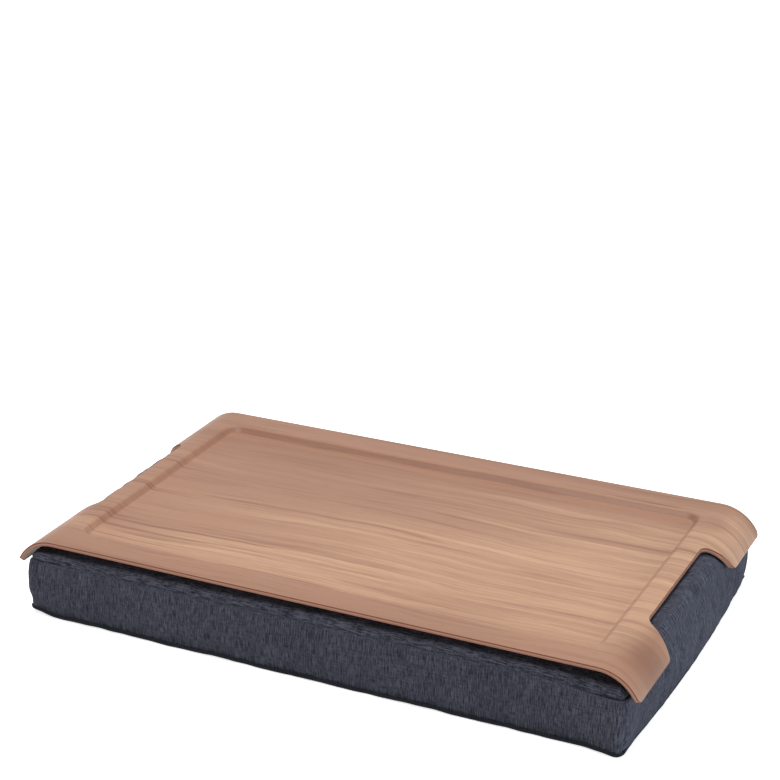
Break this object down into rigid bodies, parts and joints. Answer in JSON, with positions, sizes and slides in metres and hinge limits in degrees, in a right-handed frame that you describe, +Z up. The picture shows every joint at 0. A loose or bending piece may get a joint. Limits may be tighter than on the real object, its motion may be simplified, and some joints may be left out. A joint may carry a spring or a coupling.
{
  "type": "lap tray with cushion",
  "caption": "Bentwood lap tray with a shallow recess and a hand notch at each end, on a soft bead-filled cushion held by hook and loop.",
  "frame": {"origin": "middle of the cushion's flat underside, on the surface that the part stands on", "axes": "+X along the tray to its right end, +Y to the back, where the cover's zip is, +Z up"},
  "size_m": [0.5408, 0.3263, 0.0675],
  "materials": {
    "walnut_veneer": "satin lacquer",
    "core_plies": "raw sanded edge",
    "cover_fabric": "matte weave",
    "black_piping": "matte",
    "black_tape": "matte",
    "zip_coil": "semi-matte",
    "dark_metal": "semi-gloss",
    "white_lining": "matte",
    "bead_bag": "matte"
  },
  "bodies": {
    "cushion": {"bead_fill": "bead_bag", "bottom_panel": "cover_fabric", "bottom_piping": "black_piping", "boxing_back_left": "cover_fabric", "boxing_back_right": "cover_fabric", "boxing_front": "cover_fabric", "boxing_left": "cover_fabric", "boxing_right": "cover_fabric", "inner_liner": "white_lining", "loop_strip_left": "black_tape", "loop_strip_right": "black_tape", "top_panel": "cover_fabric", "zip_coil_lower": "zip_coil", "zip_coil_upper": "zip_coil", "zip_facing_lower": "cover_fabric", "zip_facing_upper": "cover_fabric", "zip_stops": "dark_metal", "zip_tape_lower": "black_tape", "zip_tape_upper": "black_tape"},
    "tray": {"face_veneer": "walnut_veneer", "upper_cross_ply": "core_plies", "core_ply": "core_plies", "lower_cross_ply": "core_plies", "back_veneer": "walnut_veneer", "hook_strip_left": "black_tape", "hook_strip_right": "black_tape"},
    "zip_slider": {"zip_slider": "dark_metal"},
    "zip_pull": {"zip_pull": "dark_metal"}
  },
  "joints": [
    {"name": "tray_lift", "type": "slide", "parent": "cushion", "child": "tray", "axis": [0, 0, 1], "range_m": [0, 0.08]},
    {"name": "zip_travel", "type": "slide", "parent": "cushion", "child": "zip_slider", "axis": [1, 0, 0], "range_m": [-0.42, 0]},
    {"name": "zip_pull_swing", "type": "hinge", "parent": "zip_slider", "child": "zip_pull", "pos_m": [0.2118, 0.163, 0.02475], "axis": [0, 0, -1], "range_deg": [0, 175]}
  ]
}
